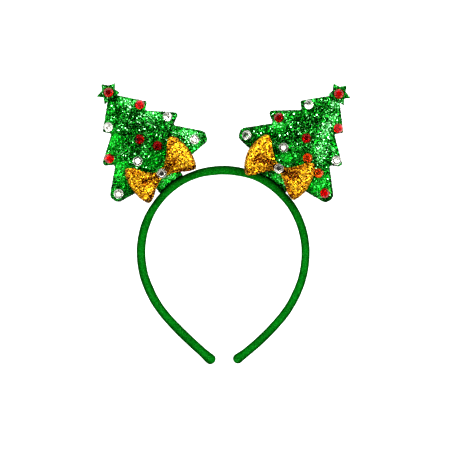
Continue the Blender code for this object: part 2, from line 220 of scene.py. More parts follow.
# Stones of each tree: name, colour, place across and up in shares of the tree's size
STONES = {
    "left": [
        ("upper_inner", "red", 0.326, 0.749),
        ("upper_outer", "clear", -0.332, 0.742),
        ("middle_inner", "clear", 0.598, 0.504),
        ("middle_centre", "red", -0.013, 0.479),
        ("middle_outer", "red", -0.621, 0.489),
        ("lower_right", "red", 0.177, 0.331),
        ("lower_left", "clear", -0.247, 0.316),
        ("tip_inner", "clear", 0.763, 0.180),
        ("tip_outer", "clear", -0.832, 0.166),
    ],
    "right": [
        ("upper_inner", "clear", -0.301, 0.753),
        ("upper_outer", "red", 0.340, 0.741),
        ("middle_inner", "red", -0.578, 0.484),
        ("middle_centre", "red", 0.008, 0.484),
        ("middle_outer", "clear", 0.644, 0.488),
        ("lower_left", "clear", -0.208, 0.283),
        ("lower_right", "amber", 0.224, 0.341),
        ("lower_outer", "amber", 0.531, 0.288),
        ("tip_inner", "clear", -0.841, 0.168),
        ("tip_outer", "red", 0.823, 0.171),
    ],
}

MIDDLE = max(BAND_DEPTH, TREE_THICKNESS) / 2
BOW_SEAT = 2 * MIDDLE + GAP
WAIST_REACH = STONE_RADIUS + GAP

# Glitter: flakes for each square millimetre, radius in millimetres, corners
TREE_FLAKES = [(1.1, 0.60, 6), (1.7, 0.36, 4)]
BOW_FLAKES = [(1.05, 0.55, 6), (1.6, 0.34, 4)]
STAR_FLAKES = [(1.3, 0.50, 6), (2.2, 0.30, 4)]
FLAKE_LIFT = 0.00010
FLAKE_DEPTH = 0.00012
FLAKE_SIZES = (0.75, 1.2)
FLAKE_LEAN = 0.20
FLAKE_LEAN_LIMIT = 2.2 * FLAKE_LEAN

# Levels of the flakes: lowest, spread, how much they crowd at the low end
TREE_LEVELS = (0.02, 0.70, 1.6)
STAR_LEVELS = (0.04, 0.60, 1.6)
# Sparks among them, painted glints: lowest level and spread on a tree and on a star, share of the flakes
TREE_PAINTED_GLINTS = (0.84, 0.16, 0.06)
STAR_PAINTED_GLINTS = (0.80, 0.20, 0.14)
# How much painted shade darkens the flakes on a slope away from the front
TREE_SLOPE_SHADE = 0.55
STAR_SLOPE_SHADE = 0.60
BOW_SLOPE_SHADE = 0.45
# How close the streaks of painted shade along the pleats lie
BOW_PLEAT_SHADES = 7.5

# Seeds of the random draws. The right side's are one more, and the stones share one.
TREE_SEED = 11
STAR_SEED = 21
BOW_SEED = 31
STONE_SEED = 5

# Patches where the glitter is lighter or darker: size in millimetres, effect on the levels and the sparks
MOTTLE = 4.5
MOTTLE_LEVEL = 0.7
MOTTLE_SPARKS = 0.10

# Painted highlights: level that a patch lifts the glitter to, how much it still varies, and how far the
# patch holds
GLITTER_PAINTED_HIGHLIGHT = {
    "lift": (0.50, 0.12, 0.78),
    "bright": (0.76, 0.12, 0.78),
    "painted_glow": (0.88, 0.12, 0.78),
    "even": (0.74, 0.06, 0.96),
}
# How far a dark patch of painted shade darkens the glitter, what a mint patch of painted glints adds to
# levels and sparks, and how many sparks a lifted one loses
DARK_PAINTED_SHADE = 0.48
MINT_PAINTED_GLINTS = (0.12, 0.42)
LIFT_SPARKS = 0.7

# Patches of painted light and shade, in each tree's own millimetres: kind, centre across and up, half sizes
PAINTED_LIGHT_PATCHES = {
    "left": [
        ("bright", -27, 24, 6, 18),
        ("even", -22, 27, 4, 5),
        ("even", -19, 6, 4, 5),
        ("dark", -27, 12, 3, 6),
        ("bright", -17, 50, 7, 9),
        ("lift", 1, 20, 11, 6),
        ("painted_glow", -2, 4, 14, 7),
        ("mint", 6, 4, 9, 5),
        ("bright", 30, 9, 7, 4),
        ("mint", 9, 68, 6, 6),
        ("mint", 17, 50, 7, 7),
        ("mint", 33, 21, 9, 9),
        ("dark", 3, 46, 13, 14),
    ],
    "right": [
        ("mint", 3, 75, 4, 5),
        ("mint", 8, 62, 5, 6),
        ("mint", 9, 52, 5, 7),
        ("mint", 15, 41, 6, 6),
        ("mint", 18, 33, 4, 5),
        ("dark", -5, 53, 7, 10),
        ("dark", -10, 32, 8, 9),
        ("bright", 27, 15, 7, 8),
        ("even", 31, 19, 3, 6),
        ("even", -3, 18, 5.5, 4),
        ("bright", -24, 34, 6, 6),
        ("painted_glow", 1, 3, 6, 5),
        ("dark", -7, 1, 3.5, 4),
        ("mint", 6, 3, 4, 4),
        ("mint", -25, 35, 4, 4),
    ],
}

# Colours of the flakes by their level, and of the dust under them by chance
GREEN_STOPS = [
    (0.00, (0, 18, 0)), (0.22, (0, 52, 4)), (0.42, (2, 96, 16)), (0.60, (16, 144, 34)),
    (0.76, (44, 192, 64)), (0.88, (104, 226, 120)), (1.00, (190, 250, 198))]
GOLD_STOPS = [
    (0.00, (34, 10, 2)), (0.18, (86, 36, 4)), (0.36, (146, 86, 14)), (0.55, (204, 148, 28)),
    (0.72, (240, 196, 44)), (0.88, (252, 222, 94)), (1.00, (255, 246, 214))]
DUST_STOPS = 5
DUST_GRAIN = 0.0005

# Looks of the stones: the glass with its shine, then the cup and the edge with metal, roughness and glow as
# painted light
STONE_LOOKS = {
    "red": [((198, 8, 12), 0.05),
            ((250, 236, 236), 0.8, 0.06, 0.10), ((246, 92, 92), 0.15, 0.35, 1.0)],
    "clear": [((246, 246, 244), 0.5),
              ((222, 221, 214), 1.0, 0.06, 0.0), ((222, 222, 216), 0.6, 0.20, 0.12)],
    "amber": [((238, 132, 40), 0.1),
              ((250, 240, 226), 0.8, 0.06, 0.10), ((252, 200, 150), 0.15, 0.35, 1.3)],
}

# Camera over the hub, and the width of the picture at a height over the floor
CAMERA_PLACE = (0.002156, 0.019789, 3.0)
PICTURE_WIDTH = 0.348
PICTURE_LEVEL = 0.006
SENSOR = 36.0

# Paper floor: half its size, how far it lies under the headband, its tone and its own light
FLOOR_HALF = 3.0
FLOOR_DROP = 0.0002
FLOOR_TONE = 0.35
FLOOR_GLOW = 0.93

# Lights: name, place, size, power in watts
LIGHTS = [
    ("light_right", (0.75, 0.15, 0.65), 0.35, 5.0),
    ("light_left", (-0.70, 0.25, 0.75), 0.40, 3.5),
    ("light_top", (0.05, 0.80, 0.90), 0.50, 4.0),
]

# The studio's brightness by the height of a direction, from the horizon (0) to straight overhead (1), with
# the curve's two ends first
STUDIO = [(0.0, 0.72), (1.0, 0.05), (0.30, 0.60), (0.60, 1.35), (0.84, 1.30), (0.95, 0.25)]
STUDIO_FULL = 2.0


def turn(angle):
    """Unit vector at an angle from +X."""
    return Vector((math.cos(math.radians(angle)), math.sin(math.radians(angle)), 0.0))


def moved(points, matrix):
    """Points of an array, moved by a 4 x 4 matrix."""
    return points @ matrix[:3, :3].T + matrix[:3, 3]


# Meshes

def add_mesh(name, points, faces, materials, face_slots=None, levels=None, smooth_angle=None):
    mesh = bpy.data.meshes.new(name)
    mesh.from_pydata([tuple(p) for p in points], [], faces)
    for material in materials:
        mesh.materials.append(material)
    if face_slots is not None:
        mesh.polygons.foreach_set("material_index", face_slots)
    if levels is not None:
        layer = mesh.attributes.new("level", "FLOAT", "POINT")
        layer.data.foreach_set("value", levels)
    if smooth_angle is not None:
        mesh.shade_smooth()
        mesh.set_sharp_from_angle(angle=math.radians(smooth_angle))
    mesh.update()
    thing = bpy.data.objects.new(name, mesh)
    bpy.context.scene.collection.objects.link(thing)
    return thing


def ride(thing, slot, *nodes):
    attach(thing, "root")
    if nodes:
        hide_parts(*nodes)
    return thing


def wall(upper, lower, count):
    """Quads between two closed rows of points, each given by the number of its first point."""
    quads = []
    for k in range(count):
        after = (k + 1) % count
        quads.append((upper + k, upper + after, lower + after, lower + k))
    return quads


def halves(quads):
    """Two triangles for each quad."""
    return [half for a, b, c, d in quads for half in ((a, b, c), (a, c, d))]


def vertex_normals(points, triangles):
    """Normals at the points of a triangle mesh, weighed by area."""
    corners = points[triangles]
    flat = np.cross(corners[:, 1] - corners[:, 0], corners[:, 2] - corners[:, 0])
    normals = np.zeros_like(points)
    for k in range(3):
        np.add.at(normals, triangles[:, k], flat)
    return normals / np.maximum(np.linalg.norm(normals, axis=1), 1e-20)[:, None]


def scatter(points, triangles, per_mm2, rng):
    """Random places on a triangle mesh and the directions that it faces there."""
    normals = vertex_normals(points, triangles)
    corners = points[triangles]
    flat = np.cross(corners[:, 1] - corners[:, 0], corners[:, 2] - corners[:, 0])
    area = np.linalg.norm(flat, axis=1) / 2
    count = round(area.sum() / MM ** 2 * per_mm2)
    pick = rng.choice(len(triangles), count, p=area / area.sum())
    first = np.sqrt(rng.random(count))
    second = rng.random(count)
    shares = np.stack([1 - first, first * (1 - second), first * second], -1)[..., None]
    places = (corners[pick] * shares).sum(1)
    facing = (normals[triangles[pick]] * shares).sum(1)
    return places, facing / np.linalg.norm(facing, axis=1)[:, None]


def unit(vectors):
    return vectors / np.linalg.norm(vectors, axis=1)[:, None]


def flake_arrays(places, facing, radius, sides, rng):
    """Flakes as shallow closed chips, each with one point more under it: points, faces."""
    count = len(places)
    helper = np.where(np.abs(facing[:, 2:3]) < 0.9, (0.0, 0.0, 1.0), (1.0, 0.0, 0.0))
    first = unit(np.cross(helper, facing))
    second = np.cross(facing, first)
    lean = rng.normal(0.0, FLAKE_LEAN, (count, 2))
    lean = np.clip(lean, -FLAKE_LEAN_LIMIT, FLAKE_LEAN_LIMIT)
    tilted = unit(facing + lean[:, :1] * first + lean[:, 1:] * second)
    first = unit(np.cross(second, tilted))
    second = np.cross(tilted, first)
    size = radius * MM * rng.uniform(*FLAKE_SIZES, count)
    spin = rng.uniform(0.0, 2 * math.pi, count)
    centre = places + facing * (FLAKE_LIFT + rng.uniform(0.0, 1.5 * FLAKE_LIFT, count)[:, None])
    rows = []
    for k in range(sides):
        angle = spin + 2 * math.pi * k / sides
        out = np.cos(angle)[:, None] * first + np.sin(angle)[:, None] * second
        rows.append(centre + size[:, None] * out)
    rows.append(centre - tilted * FLAKE_DEPTH)
    points = np.stack(rows, 1).reshape(-1, 3)
    faces = []
    for base in range(0, count * (sides + 1), sides + 1):
        faces.append(tuple(range(base, base + sides)))
        for k in range(sides):
            faces.append((base + (k + 1) % sides, base + k, base + sides))
    return points, faces


def add_flakes(name, points, triangles, kinds, level_of, material, seed):
    """Flakes of several kinds on a triangle mesh; level_of gives their levels from places and facing."""
    rng = np.random.default_rng(seed)
    all_points = []
    all_faces = []
    all_levels = []
    start = 0
    for per_mm2, radius, sides in kinds:
        places, facing = scatter(points, triangles, per_mm2, rng)
        levels = level_of(places, facing, rng)
        new_points, new_faces = flake_arrays(places, facing, radius, sides, rng)
        all_points.append(new_points)
        all_faces += [tuple(start + i for i in face) for face in new_faces]
        all_levels.append(np.repeat(levels, sides + 1))
        start += len(new_points)
    return add_mesh(name, np.concatenate(all_points), all_faces, [material],
                    levels=np.concatenate(all_levels))


# Materials

def linear(red, green, blue):
    """Linear colour of a display colour with parts from 0 to 255."""
    parts = [c / 255 for c in (red, green, blue)]
    return [c / 12.92 if c <= 0.04045 else ((c + 0.055) / 1.055) ** 2.4 for c in parts] + [1.0]


def feed(made, **settings):
    """Set a node. A name with a capital is an input, for a value or a link; any other is the node's own."""
    for key, value in settings.items():
        name = key.replace("_", " ")
        if not key[0].isupper():
            setattr(made, key, value)
        elif isinstance(value, bpy.types.NodeSocket):
            made.id_data.links.new(value, made.inputs[name])
        else:
            made.inputs[name].default_value = value
    return made


def node(tree, kind, **settings):
    return feed(tree.nodes.new(kind), **settings)


def new_material(name, **settings):
    material = bpy.data.materials.new(name)
    material.use_nodes = True
    tree = material.node_tree
    return material, tree, feed(tree.nodes["Principled BSDF"], **settings)


def ramp(tree, source, stops):
    made = node(tree, "ShaderNodeValToRGB", Fac=source)
    elements = made.color_ramp.elements
    for k, (place, colour) in enumerate(stops):
        element = elements[k] if k < 2 else elements.new(place)
        element.position = place
        element.color = linear(*colour)
    return made.outputs["Color"]


def grey_ramp(tree, source, *stops):
    """Ramp of greys, for a layer that a colour is multiplied by."""
    return ramp(tree, source, [(place, (tone, tone, tone)) for place, tone in stops])


def coordinates(tree, stretch=None):
    place = node(tree, "ShaderNodeTexCoord").outputs["Object"]
    if stretch is None:
        return place
    return node(tree, "ShaderNodeMapping", Vector=place, Scale=stretch).outputs["Vector"]


def noise_of(tree, place, grain, detail=3.0, roughness=0.6):
    """Noise whose features are about one grain across."""
    made = node(tree, "ShaderNodeTexNoise", Vector=place, Scale=1 / grain, Detail=detail,
                Roughness=roughness)
    return made.outputs["Fac"]


def cells_of(tree, place, grain, output="Distance"):
    return node(tree, "ShaderNodeTexVoronoi", Vector=place, Scale=1 / grain).outputs[output]


def mixed(tree, factor, first, second, blend="MIX"):
    """Two colours mixed. The sockets go by number, as the node has several of each name."""
    made = node(tree, "ShaderNodeMix", data_type="RGBA", blend_type=blend)
    made.inputs[0].default_value = factor
    tree.links.new(first, made.inputs[6])
    tree.links.new(second, made.inputs[7])
    return made.outputs[2]


def level_of_point(tree):
    return node(tree, "ShaderNodeAttribute", attribute_name="level").outputs["Fac"]


def wear(tree, shader, source, low, high, from_low=0.0, from_high=1.0):
    """Roughness between two values, by where a noise lies between two others."""
    made = node(tree, "ShaderNodeMapRange", Value=source, To_Min=low, To_Max=high,
                From_Min=from_low, From_Max=from_high)
    feed(shader, Roughness=made.outputs["Result"])


def bump(tree, shader, height, distance, strength=1.0):
    made = node(tree, "ShaderNodeBump", Height=height, Distance=distance, Strength=strength)
    feed(shader, Normal=made.outputs["Normal"])


def flake_material(name, stops, metallic, roughness):
    """Foil flakes: each flake has its own level, and a fine brushed grain."""
    material, tree, shader = new_material(name, Metallic=metallic)
    feed(shader, Base_Color=ramp(tree, level_of_point(tree), stops))
    grain = noise_of(tree, coordinates(tree), 0.00015)
    wear(tree, shader, grain, roughness - 0.08, roughness + 0.12)
    bump(tree, shader, grain, 0.00002, 0.35)
    return material


def dust_material(name, stops, grain, metallic):
    """Cloth under the flakes, covered with glitter dust."""
    material, tree, shader = new_material(name, Metallic=metallic, Roughness=0.55)
    place = coordinates(tree)
    split = node(tree, "ShaderNodeSeparateColor", Color=cells_of(tree, place, grain, "Color"))
    feed(shader, Base_Color=ramp(tree, split.outputs["Red"], stops))
    bump(tree, shader, cells_of(tree, place, grain), 0.0002, 0.8)
    return material


def felt_material(name, dark, light):
    """Felt of fibres in two directions between two colours."""
    material, tree, shader = new_material(name, Roughness=0.95, Sheen_Weight=0.25, Sheen_Roughness=0.5)
    fibres = noise_of(tree, coordinates(tree, (1.0, 0.22, 1.0)), 0.00035, 5.0, 0.75)
    crossed = noise_of(tree, coordinates(tree, (0.25, 1.0, 1.0)), 0.0004, 5.0, 0.75)
    both = mixed(tree, 0.5, fibres, crossed)
    tone = ramp(tree, both, [(0.30, dark), (0.68, light)])
    cloud = grey_ramp(tree, noise_of(tree, coordinates(tree), 0.009), (0.3, 205), (0.7, 255))
    feed(shader, Base_Color=mixed(tree, 1.0, tone, cloud, "MULTIPLY"))
    bump(tree, shader, both, 0.0003, 0.7)
    return material


def velvet_material(name):
    """Short pile: its tone goes by each point's level, which holds painted shade, under the nap, the single
    hairs and wide clouds.
    """
    material, tree, shader = new_material(
        name, Roughness=0.9, Specular_IOR_Level=0.0, Sheen_Weight=0.05, Sheen_Roughness=0.35,
        Sheen_Tint=linear(20, 200, 40))
    place = coordinates(tree)
    tone = ramp(tree, level_of_point(tree), [
        (0.0, (0, 56, 6)), (0.4, (2, 97, 15)), (0.75, (8, 134, 28)), (1.0, (28, 164, 60))])
    nap = grey_ramp(tree, noise_of(tree, place, 0.0010, 3.0, 0.8),
                    (0.36, 150), (0.46, 206), (0.56, 236), (0.66, 255))
    pile = noise_of(tree, place, 0.00022, 3.0, 0.7)
    shade = grey_ramp(tree, pile, (0.32, 170), (0.62, 255))
    cloud = grey_ramp(tree, noise_of(tree, place, 0.012, 2.0), (0.3, 222), (0.7, 255))
    for layer in (nap, shade, cloud):
        tone = mixed(tree, 1.0, tone, layer, "MULTIPLY")
    specks = ramp(tree, noise_of(tree, place, 0.0008, 2.0, 0.6), [(0.57, (0, 0, 0)), (0.68, (44, 84, 46))])
    feed(shader, Base_Color=mixed(tree, 1.0, tone, specks, "ADD"))
    bump(tree, shader, pile, 0.00025, 0.6)
    return material


def glass_material(name, colour, shine):
    material, tree, shader = new_material(
        name, Base_Color=linear(*colour), IOR=1.52, Transmission_Weight=1.0, Specular_IOR_Level=shine)
    wear(tree, shader, noise_of(tree, coordinates(tree), 0.0006, 4.0), 0.0, 0.05, 0.45, 0.8)
    return material


# Foil. Its glow is emission, painted light that brightens a stone's cup and edge
def foil_material(name, colour, metallic, roughness, painted_glow=0.0):
    material, tree, shader = new_material(
        name, Base_Color=linear(*colour), Metallic=metallic,
        Emission_Color=linear(*colour), Emission_Strength=painted_glow)
    grain = noise_of(tree, coordinates(tree), 0.0005, 4.0)
    wear(tree, shader, grain, roughness, roughness + 0.12, 0.35, 0.75)
    return material


def stone_materials(colour):
    """Materials of one colour's stones: glass, cup, edge and back."""
    glass, cup, edge = STONE_LOOKS[colour]
    return [glass_material("stone_glass_" + colour, *glass), foil_material("stone_cup_" + colour, *cup),
            foil_material("stone_edge_" + colour, *edge), silver_foil]


green_flakes = flake_material("tree_flakes", GREEN_STOPS, 1.0, 0.18)
gold_flakes = flake_material("bow_flakes", GOLD_STOPS, 1.0, 0.20)
green_dust = dust_material("tree_dust", GREEN_STOPS[:DUST_STOPS], DUST_GRAIN, 0.5)
gold_dust = dust_material("bow_dust", GOLD_STOPS[:DUST_STOPS], DUST_GRAIN, 0.5)
green_felt = felt_material("tree_felt", (0, 62, 22), (12, 104, 44))
# The lining's brown is darker than the cloth's own: a real lining, darkened as painted shade inside the
# loops
shaded_gold_lining = felt_material("bow_lining_shaded", (74, 36, 2), (128, 74, 10))
green_velvet = velvet_material("band_velvet")
silver_foil = foil_material("stone_foil", (236, 236, 238), 1.0, 0.14)
stone_kits = {colour: stone_materials(colour) for colour in STONE_LOOKS}


# The band

def hoop_half(side):
    """Middle line from the crown down one side, as if on the right.

    Each station has its point, its outward direction, half its width and its share of the depth.
    """
    share, sweep, bend = HOOP_SIDES[side]
    radius = share * CROWN_RADIUS
    points = []
    count = round(CROWN_RADIUS * math.pi / 2 / STATION_PITCH)
    for k in range(count):
        out = turn(90.0 * (1 - k / count))
        points.append((CROWN_RADIUS * out, out, BAND_THICKNESS / 2, 1.0))
    centre = Vector((CROWN_RADIUS - radius, 0.0, 0.0))
    count = round(radius * math.radians(sweep) / STATION_PITCH)
    for k in range(count + 1):
        out = turn(-sweep * k / count)
        points.append((centre + radius * out, out, BAND_THICKNESS / 2, 1.0))
    knee = points[-1][0]
    leg_radius = LEG_LENGTH / math.radians(bend)
    centre = knee - leg_radius * turn(-sweep)
    straight = LEG_LENGTH - END_SWELL_LENGTH
    count = round(LEG_LENGTH / STATION_PITCH)
    for k in range(1, count + 1):
        run = LEG_LENGTH * k / count
        out = turn(-sweep - bend * run / LEG_LENGTH)
        share = max(0.0, (run - straight) / END_SWELL_LENGTH)
        swell = share * share * (3 - 2 * share)
        half = BAND_THICKNESS / 2 + (END_RADIUS - BAND_THICKNESS / 2) * swell
        points.append((centre + leg_radius * out, out, half, 1.0))
    tip = points[-1][0]
    out = turn(-sweep - bend)
    along = turn(-sweep - bend - 90.0)
    for angle in range(8, 88, 8):
        ahead = END_RADIUS * math.sin(math.radians(angle))
        narrow = math.cos(math.radians(angle))
        deep = 1.0 - BAND_END_ROUND / (BAND_DEPTH / 2) * (1.0 - narrow)
        points.append((tip + along * ahead, out, END_RADIUS * narrow, deep))
    return points


def hoop_stations():
    mirrored = []
    for place, out, half, deep in hoop_half("left")[1:]:
        mirrored.append((Vector((-place.x, place.y, 0.0)), Vector((-out.x, out.y, 0.0)), half, deep))
    return mirrored[::-1] + hoop_half("right")


def velvet_shaded_level(across, crown):
    """How light the pile looks, with painted shade: darker along both edges, and over the crown darker
    outwards.
    """
    edge = max(0.0, abs(across) - VELVET_EDGE_START) / (1 - VELVET_EDGE_START)
    middle, outwards = VELVET_CROWN_SHADE
    return (VELVET_LEVEL - VELVET_EDGE_SHADE * edge * (1 - VELVET_CROWN_EASE * crown)
            - crown * (middle + outwards * across))


def build_band():
    stations = hoop_stations()
    places, inner_prouds, outer_prouds = zip(*BAND_PROUD)
    points = []
    levels = []
    for place, out, half, deep in stations:
        # from -90 to 270 degrees, so that the gap between the ends is where it starts
        round_hub = (math.degrees(math.atan2(place.y, place.x)) + 90.0) % 360.0 - 90.0
        inner, outer = [np.interp(round_hub, places, prouds) for prouds in (inner_prouds, outer_prouds)]
        closing = min(1.0, half / END_RADIUS)
        for k in range(BAND_RING):
            angle = 2 * math.pi * k / BAND_RING
            across = math.copysign(abs(math.cos(angle)) ** (2 / BAND_SQUARENESS), math.cos(angle))
            rise = math.copysign(abs(math.sin(angle)) ** (2 / BAND_SQUARENESS), math.sin(angle))
            skin = place + out * half * across + Vector((0, 0, rise * BAND_DEPTH / 2))
            lump = BAND_LUMP * (noise.noise(skin / BAND_LUMP_LENGTH) - 1)
            seam = SEAM_RISE if SEAM_SPAN[0] < angle / math.pi < SEAM_SPAN[1] else 0.0
            proud = (outer if across > 0 else inner) * closing
            point = place + out * (across * (half + lump + proud) - seam * closing)
            height = MIDDLE + rise * deep * (BAND_DEPTH / 2 + lump)
            points.append((point.x + HUB.x, point.y + HUB.y, height))
            # Level with painted shade: darker towards both edges, and over the crown darker outwards
            levels.append(velvet_shaded_level(across, max(0.0, out.y)))
    faces = []
    rings = len(stations)
    for r in range(rings - 1):
        faces += [(a, d, c, b) for a, b, c, d in wall(r * BAND_RING, (r + 1) * BAND_RING, BAND_RING)]
    faces.append(tuple(range(BAND_RING)))
    faces.append(tuple(range(rings * BAND_RING - 1, (rings - 1) * BAND_RING - 1, -1)))
    band = add_mesh("band_cover", points, faces, [green_velvet], levels=levels, smooth_angle=60.0)
    return ride(band, "band_cloth", "band")


# The trees

def on_tree(across, up):
    """Place in a tree's own frame, from shares of its size."""
    return across * TREE_HALF_WIDTH, up * TREE_HEIGHT


def tree_frame(side):
    """World matrix of a tree's own frame, at the foot of its trunk and at mid depth."""
    place, axis = TREES[side]
    foot = (CROWN_RADIUS + BAND_THICKNESS / 2 + TREE_FOOT_RISE) * turn(place)
    rotation = Matrix.Rotation(math.radians(axis - 90.0), 4, "Z")
    return Matrix.Translation((foot.x + HUB.x, foot.y + HUB.y, MIDDLE)) @ rotation


def round_corner(before, corner, after, radius):
    """Arc that replaces a corner, tangent to both of its edges."""
    first = (before - corner).normalized()
    last = (after - corner).normalized()
    half = first.angle(last) / 2
    run = min(radius / math.tan(half), 0.45 * min((before - corner).length, (after - corner).length))
    fitted = run * math.tan(half)
    centre = corner + (first + last).normalized() * (fitted / math.sin(half))
    start = corner + first * run - centre
    sweep = start.angle_signed(corner + last * run - centre)
    steps = max(3, round(abs(sweep) / math.radians(12.0)))
    arc = []
    for k in range(steps + 1):
        angle = -sweep * k / steps
        arc.append(centre + Vector((
            start.x * math.cos(angle) - start.y * math.sin(angle),
            start.x * math.sin(angle) + start.y * math.cos(angle))))
    return arc


def tree_outline(side):
    """Closed outline of a tree, run clockwise from its top; the trunk ends along the band."""
    corners = []
    for across, up, rounding in TREE_CORNERS:
        corners.append((Vector(on_tree(across, up)), rounding * TREE_HALF_WIDTH))
    corners[-1][0].x += TRUNK_SPREAD[side]
    hub = tree_frame(side).inverted() @ Vector((HUB.x, HUB.y, MIDDLE))
    seat = CROWN_RADIUS + BAND_THICKNESS / 2 - TRUNK_PRESS
    trunk = []
    for share in np.linspace(1.0, -1.0, 9):
        across = share * (TRUNK_HALF_SHARE * TREE_HALF_WIDTH + TRUNK_SPREAD[side])
        trunk.append(Vector((across, hub.y + math.sqrt(seat ** 2 - (across - hub.x) ** 2))))
    mirrored = [(Vector((-p.x, p.y)), r) for p, r in corners[1:]]
    ring = corners + [(p, 0.0) for p in trunk] + mirrored[::-1]
    outline = []
    for k, (corner, radius) in enumerate(ring):
        before = ring[k - 1][0]
        after = ring[(k + 1) % len(ring)][0]
        outline += round_corner(before, corner, after, radius) if radius else [corner]
    fine = []
    for k, here in enumerate(outline):
        there = outline[(k + 1) % len(outline)]
        steps = max(1, round((there - here).length / OUTLINE_PITCH))
        fine += [here.lerp(there, j / steps) for j in range(steps)]
    return np.array(fine)


def in_parts(places, outline, work, size=600):
    """Result of a function of places and outline, taken a few hundred places at a time."""
    return np.concatenate([work(places[k:k + size], outline) for k in range(0, len(places), size)])


def corner_angles(places, outline):
    start = outline[None, :, :] - places[:, None, :]
    end = np.roll(outline, -1, axis=0)[None, :, :] - places[:, None, :]
    cross = start[..., 0] * end[..., 1] - start[..., 1] * end[..., 0]
    return start, end, cross, np.arctan2(cross, (start * end).sum(-1))


def reach_inside(places, outline):
    """How far places lie inside an outline, smoothed: the width of the pad that they belong to."""
    start, end, cross, angle = corner_angles(places, outline)
    distance = np.maximum(np.abs(cross) / np.linalg.norm(end - start, axis=-1), 1e-7)
    return math.pi / (np.abs(angle) / distance).sum(-1)


def winding(places, outline):
    """True for places inside the outline."""
    return np.abs(corner_angles(places, outline)[3].sum(-1)) > math.pi


def nearest_edge(places, outline):
    """Distance from places to the nearest edge of an outline."""
    start = outline[None, :, :]
    edge = np.roll(outline, -1, axis=0)[None, :, :] - start
    share = ((places[:, None, :] - start) * edge).sum(-1) / (edge ** 2).sum(-1)
    foot = start + np.clip(share, 0, 1)[..., None] * edge
    return np.linalg.norm(places[:, None, :] - foot, axis=-1).min(1)


def pad_share(reach):
    """Share of the full thickness at a reach inside the outline."""
    edge = np.sqrt(1 - (1 - np.clip(reach / EDGE_REACH, 0, 1)) ** 2)
    body = np.sqrt(1 - (1 - np.clip(reach / BODY_REACH, 0, 1)) ** 2)
    return RIM_SHARE + EDGE_SWELL_SHARE * edge + BODY_SWELL_SHARE * body


def pad_flat(outline):
    """Points and triangles of a pad in its own plane, the outline first."""
    edge = np.roll(outline, -1, axis=0) - np.roll(outline, 1, axis=0)
    inward = np.stack([edge[:, 1], -edge[:, 0]], -1) / np.linalg.norm(edge, axis=1)[:, None]
    rings = []
    for inset in PAD_RINGS:
        ring = outline + inset * inward
        rings.append(ring[in_parts(ring, outline, nearest_edge) > 0.9 * inset])
    low, high = outline.min(0), outline.max(0)
    rows = np.arange(low[1], high[1], PAD_PITCH * math.sqrt(3) / 2)
    middle = []
    for k, up in enumerate(rows):
        shift = PAD_PITCH / 2 * (k % 2)
        columns = int(high[0] / PAD_PITCH) + 1
        middle += [(j * PAD_PITCH + shift, up) for j in range(-columns, columns)]
    middle = np.array(middle)
    middle = middle[in_parts(middle, outline, winding)]
    middle = middle[in_parts(middle, outline, nearest_edge) > PAD_RINGS[-1] + PAD_PITCH / 2]
    flat = np.concatenate([outline, *rings, middle])
    loop = list(range(len(outline)))[::-1]
    points, _, faces, _, _, _ = delaunay_2d_cdt([Vector(p) for p in flat], [], [loop], 1, 1e-7)
    return np.array([tuple(p) for p in points]), np.array([tuple(f) for f in faces])


def pad_height(side, places, outline, face):
    """Height of a pad's face over its middle plane, with the soft waves of stuffed cloth."""
    reach = in_parts(places, outline, reach_inside)
    height = pad_share(reach) * TREE_THICKNESS / 2
    height[:len(outline)] = RIM_SHARE * TREE_THICKNESS / 2
    seats = np.array([on_tree(across, up) for _, _, across, up in STONES[side]])
    near = np.linalg.norm(places[:, None, :] - seats[None], axis=-1).min(1)
    by_stone = np.exp(-(near / STONE_DIMPLE) ** 4) if face > 0 else np.zeros(len(places))
    wave = []
    for across, up in places:
        spot = Vector((across, up, face * PAD_FACE_SHIFT)) / PAD_WAVE_LENGTH
        wave.append(noise.noise(spot) + PAD_RIPPLE[0] * noise.noise(spot * PAD_RIPPLE[1]))
    swell = np.clip(reach / EDGE_REACH, 0, 1) ** 2
    wave = PAD_WAVE * (np.array(wave) - 0.5) * swell * (1 - by_stone)
    return height + wave + STONE_SEAT_SHARE * GAP * by_stone


def build_tree(side, seed):
    """Pad of one tree with its glitter. The front and the upper walls carry flakes, the back is felt."""
    outline = tree_outline(side)
    flat, triangles = pad_flat(outline)
    frame_of = np.array(tree_frame(side))
    count = len(flat)
    rim = len(outline)
    front = np.column_stack([flat, pad_height(side, flat, outline, 1.0)])
    back = np.column_stack([flat, -pad_height(side, flat, outline, -1.0)])
    edge = RIM_SHARE * TREE_THICKNESS / 2
    walls = [np.column_stack([outline, np.full(rim, edge * share)]) for share in (0.5, 0.0, -0.5)]
    points = moved(np.concatenate([front, back, *walls]), frame_of)
    rows = [0, 2 * count, 2 * count + rim, 2 * count + 2 * rim, count]
    glittered = wall(rows[0], rows[1], rim) + wall(rows[1], rows[2], rim)
    faces = [tuple(f) for f in triangles.tolist()] + glittered
    slots = [0] * len(faces)
    faces += wall(rows[2], rows[3], rim) + wall(rows[3], rows[4], rim)
    faces += [tuple(count + i for i in f[::-1]) for f in triangles.tolist()]
    slots += [1] * (len(faces) - len(slots))
    pad = add_mesh("tree_" + side + "_pad", points, faces, [green_dust, green_felt], slots,
                   smooth_angle=70.0)
    ride(pad, "tree_glitter", "tree_" + side)
    to_local = np.linalg.inv(frame_of)

    def level_of(places, facing, rng):
        return green_levels(side, moved(places, to_local)[:, :2] / MM, facing, rng)

    bed = np.concatenate([triangles, np.array(halves(glittered))])
    flakes = add_flakes("tree_" + side + "_glitter", points, bed, TREE_FLAKES, level_of,
                        green_flakes, seed)
    ride(flakes, "tree_glitter")
    return outline


def patch_weight(places, across, up, half_across, half_up):
    """Weight of an oval patch: 1 in its middle, soft at its edge."""
    reach = ((places[:, 0] - across) / half_across) ** 2 + ((places[:, 1] - up) / half_up) ** 2
    return np.exp(-reach ** 1.5)


